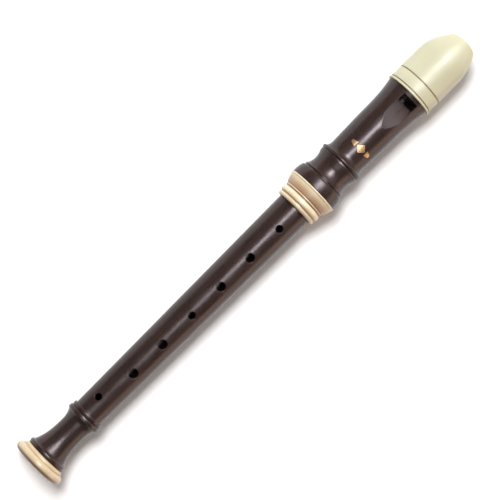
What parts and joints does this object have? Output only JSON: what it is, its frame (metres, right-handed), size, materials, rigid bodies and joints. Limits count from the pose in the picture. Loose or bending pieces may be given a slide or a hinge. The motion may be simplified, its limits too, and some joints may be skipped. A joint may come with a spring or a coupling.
{
  "type": "soprano recorder",
  "caption": "Soprano recorder in two joints: a tapered body with finger holes and a flared foot, and a head with a windway, window and beak that turns and pulls off.",
  "frame": {"origin": "on the surface that the recorder lies on, under the middle of its length and under the bore's axis", "axes": "+X along the bore towards the mouthpiece, +Z out of the finger holes, +Y towards the side that the little finger's hole is turned to"},
  "size_m": [0.33, 0.0318, 0.0318],
  "materials": {
    "brown_plastic": "polished dark red-brown moulded plastic",
    "ivory_plastic": "polished warm ivory moulded plastic",
    "beak_plastic": "polished pale ivory moulded plastic",
    "block_plastic": "satin dark red-brown moulded plastic",
    "cork": "greased sheet cork",
    "gold_foil": "hot-stamped metallic foil"
  },
  "bodies": {
    "body": {"body_tube": "brown_plastic", "foot_ring": "ivory_plastic"},
    "joint_seal": {"tenon_cork": "cork"},
    "head": {"head_tube": "brown_plastic", "socket_ring": "ivory_plastic", "beak_cap": "beak_plastic", "block": "block_plastic", "front_mark": "gold_foil"}
  },
  "joints": [
    {"name": "head_turn", "type": "hinge", "parent": "body", "child": "joint_seal", "pos_m": [0.045, 0, 0.0159], "axis": [1, 0, 0], "continuous": true},
    {"name": "head_slide", "type": "slide", "parent": "joint_seal", "child": "head", "axis": [1, 0, 0], "range_m": [0, 0.03]}
  ]
}
